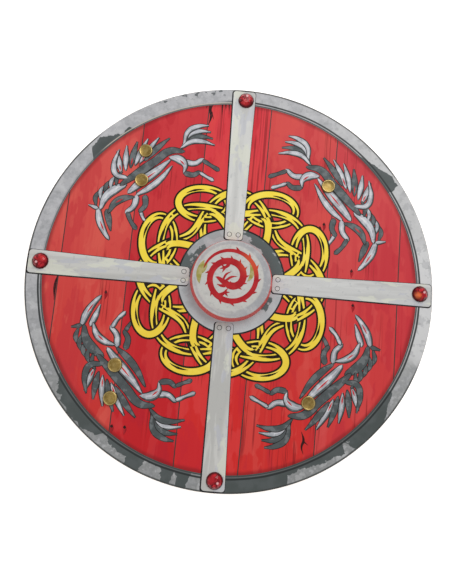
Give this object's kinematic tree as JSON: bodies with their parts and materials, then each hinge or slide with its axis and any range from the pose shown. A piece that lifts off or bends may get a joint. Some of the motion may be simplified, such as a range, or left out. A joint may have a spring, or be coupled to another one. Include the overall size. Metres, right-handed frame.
{
  "type": "toy round shield",
  "caption": "Round toy shield: printed plywood disc with a raised wooden boss, glued faceted stones, brass-capped rivets and two leather straps behind.",
  "frame": {"origin": "on the surface the shield lies on, below the middle of the disc, at the underside of the two straps", "axes": "+Z out of the printed face, +Y towards the top of the picture, +X to the picture's right"},
  "size_m": [0.4, 0.4, 0.055],
  "materials": {
    "painted_plywood": "matt printed picture of red planks, grey metal bands, yellow knotwork and grey beasts on the face; bare birch ply behind",
    "painted_wood": "matt printed grey disc with a red coiled dragon, red painted side",
    "red_acrylic": "polished, faceted, foil backed",
    "brass": "polished, slightly dulled",
    "brown_leather": "smooth vegetable-tanned leather with darker burnished edges"
  },
  "bodies": {
    "root": {"board": "painted_plywood", "boss": "painted_wood", "gem_top": "red_acrylic", "gem_right": "red_acrylic", "gem_bottom": "red_acrylic", "gem_left": "red_acrylic", "grip_strap": "brown_leather", "arm_strap": "brown_leather", "grip_rivet_top_outer": "brass", "grip_rivet_top_inner": "brass", "grip_rivet_bottom_inner": "brass", "grip_rivet_bottom_outer": "brass", "arm_rivet_top": "brass", "arm_rivet_bottom": "brass"}
  },
  "joints": []
}
